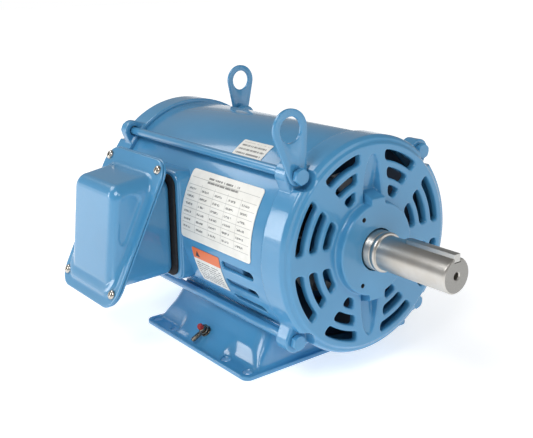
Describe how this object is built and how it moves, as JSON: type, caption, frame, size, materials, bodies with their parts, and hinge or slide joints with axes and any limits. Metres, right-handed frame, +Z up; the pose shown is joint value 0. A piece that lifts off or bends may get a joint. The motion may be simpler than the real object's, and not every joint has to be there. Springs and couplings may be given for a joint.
{
  "type": "electric motor",
  "caption": "Foot-mounted open drip-proof electric motor with a keyed shaft, vented end brackets, lifting lugs and a side conduit box.",
  "frame": {"origin": "on the floor plane of the feet, below the shaft centreline, midway between the foot holes", "axes": "+X along the shaft towards its keyed end, +Z up, the conduit box on the -Y side"},
  "size_m": [0.4695, 0.3232, 0.2812],
  "materials": {
    "blue_paint": "gloss",
    "machined_steel": "fine turned",
    "key_steel": "ground",
    "zinc_screw": "bright zinc",
    "core_steel": "varnished laminations",
    "rotor_steel": "turned laminations",
    "rotor_aluminium": "cast",
    "winding": "varnished copper",
    "bearing_steel": "ground",
    "cap_iron": "raw",
    "deflector_sheet": "satin",
    "gasket_rubber": "matt",
    "plate_white": "printed film",
    "caution_film": "printed film"
  },
  "bodies": {
    "stator": {"drive_end_bracket": "blue_paint", "rear_bracket": "blue_paint", "frame_shell": "blue_paint", "base_saddle": "blue_paint", "lifting_lug_front": "blue_paint", "lifting_lug_rear": "blue_paint", "conduit_box_cover": "blue_paint", "conduit_box_base": "blue_paint", "conduit_box_gasket": "gasket_rubber", "stator_core": "core_steel", "stator_end_turns_drive": "winding", "stator_end_turns_rear": "winding", "drive_bearing_cap": "cap_iron", "air_deflector_drive": "deflector_sheet", "air_deflector_rear": "deflector_sheet", "nameplate": "plate_white", "caution_label": "caution_film", "connection_label": "plate_white", "earthing_screw": "zinc_screw", "earthing_terminal": "zinc_screw", "through_bolt_upper_left": "blue_paint", "through_nut_upper_left": "blue_paint", "through_bolt_upper_right": "blue_paint", "through_nut_upper_right": "blue_paint", "through_bolt_lower_left": "blue_paint", "through_nut_lower_left": "blue_paint", "through_bolt_lower_right": "blue_paint", "through_nut_lower_right": "blue_paint", "conduit_box_screw_top_rear": "zinc_screw", "conduit_box_screw_top_front": "zinc_screw", "conduit_box_screw_bottom_rear": "zinc_screw", "conduit_box_screw_bottom_front": "zinc_screw", "drive_bearing_outer_race": "bearing_steel", "drive_bearing_balls_and_cage": "bearing_steel", "rear_bearing_outer_race": "bearing_steel", "rear_bearing_balls_and_cage": "bearing_steel"},
    "rotor": {"shaft": "machined_steel", "shaft_key": "key_steel", "rotor_core": "rotor_steel", "rotor_end_ring_drive": "rotor_aluminium", "rotor_end_ring_rear": "rotor_aluminium", "drive_bearing_inner_race": "bearing_steel", "rear_bearing_inner_race": "bearing_steel"}
  },
  "joints": [
    {"name": "rotor_spin", "type": "hinge", "parent": "stator", "child": "rotor", "pos_m": [0.12, 0, 0.13335], "axis": [1, 0, 0], "continuous": true}
  ]
}
